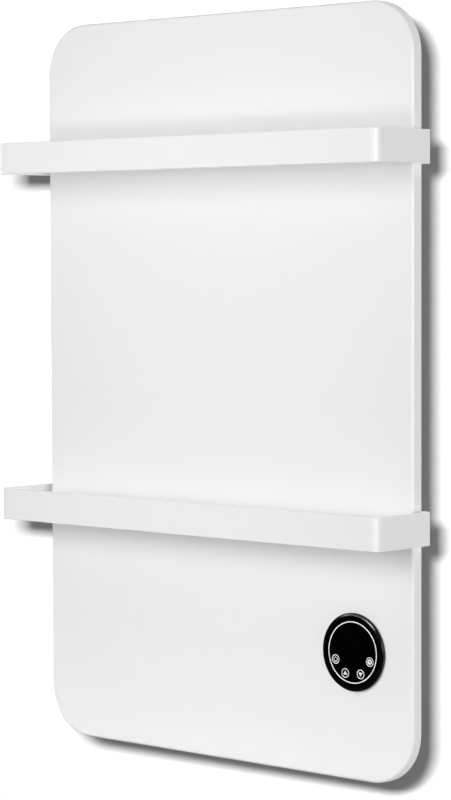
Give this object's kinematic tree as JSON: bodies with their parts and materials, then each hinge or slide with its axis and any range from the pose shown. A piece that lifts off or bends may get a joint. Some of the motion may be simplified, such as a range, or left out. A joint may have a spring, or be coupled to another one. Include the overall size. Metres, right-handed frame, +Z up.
{
  "type": "infrared towel warmer",
  "caption": "Flat white infrared heating panel with rounded corners for a bathroom wall, with flat towel rails bent round its sides and a round black touch control.",
  "frame": {"origin": "centre of the rectangle of four wall screws, on the wall plane, at the middle of the panel's height and width", "axes": "+X to the viewer's right, +Y from the room into the wall, +Z up; the heated front faces -Y"},
  "size_m": [0.545, 0.1055, 0.8],
  "materials": {
    "white_coat": "satin white powder coat",
    "zinc_sheet": "galvanised sheet steel",
    "zinc_screw": "zinc-plated steel",
    "gloss_black": "polished black",
    "dark_plastic": "moulded black plastic",
    "pale_plastic": "moulded pale grey plastic",
    "rubber": "matt black rubber",
    "film": "amber film",
    "carbon": "printed carbon",
    "copper": "copper alloy",
    "foil": "bright aluminium",
    "insulation": "mineral fibre board",
    "lead_sleeve": "silicone sleeve",
    "circuit_board": "green solder mask"
  },
  "bodies": {
    "heater": {"front_panel": "white_coat", "heating_film": "film", "carbon_strips": "carbon", "busbars": "copper", "reflector_foil": "foil", "insulation_board": "insulation", "thermal_cutouts": "dark_plastic", "temperature_sensor": "foil", "heater_leads": "lead_sleeve", "control_lead": "lead_sleeve", "back_panel": "zinc_sheet", "edge_clips": "zinc_sheet", "back_panel_screws": "zinc_screw", "towel_rail_upper": "white_coat", "towel_rail_lower": "white_coat", "rail_nut_plates": "zinc_sheet", "rail_screws": "zinc_screw", "control_bezel": "gloss_black", "touch_lens": "gloss_black", "bezel_gasket": "rubber", "control_clamp_ring": "dark_plastic", "control_board": "circuit_board", "display_module": "gloss_black", "touch_pads": "rubber", "control_cap": "dark_plastic", "wall_rail_upper": "zinc_sheet", "wall_rail_lower": "zinc_sheet", "hangers": "zinc_sheet", "hanger_screws": "zinc_screw", "lock_bracket": "zinc_sheet", "lock_bracket_screws": "zinc_screw", "lock_screw": "zinc_screw", "weld_nuts": "zinc_screw", "wall_bumpers": "rubber", "junction_box": "pale_plastic", "box_lid": "pale_plastic", "lid_screws": "zinc_screw", "box_screws": "zinc_screw", "power_board": "circuit_board", "relay": "dark_plastic", "terminal_block": "pale_plastic", "wire_grommet": "rubber", "gland_body": "dark_plastic", "gland_locknut": "dark_plastic", "gland_seal": "rubber", "gland_cap": "dark_plastic", "switch_body": "dark_plastic", "switch_blades": "copper"},
    "rocker": {"switch_rocker": "gloss_black"}
  },
  "joints": [
    {"name": "mains_rocker", "type": "hinge", "parent": "heater", "child": "rocker", "pos_m": [0.109, -0.012, -0.3435], "axis": [0, 1, 0], "range_deg": [0, 20]}
  ]
}
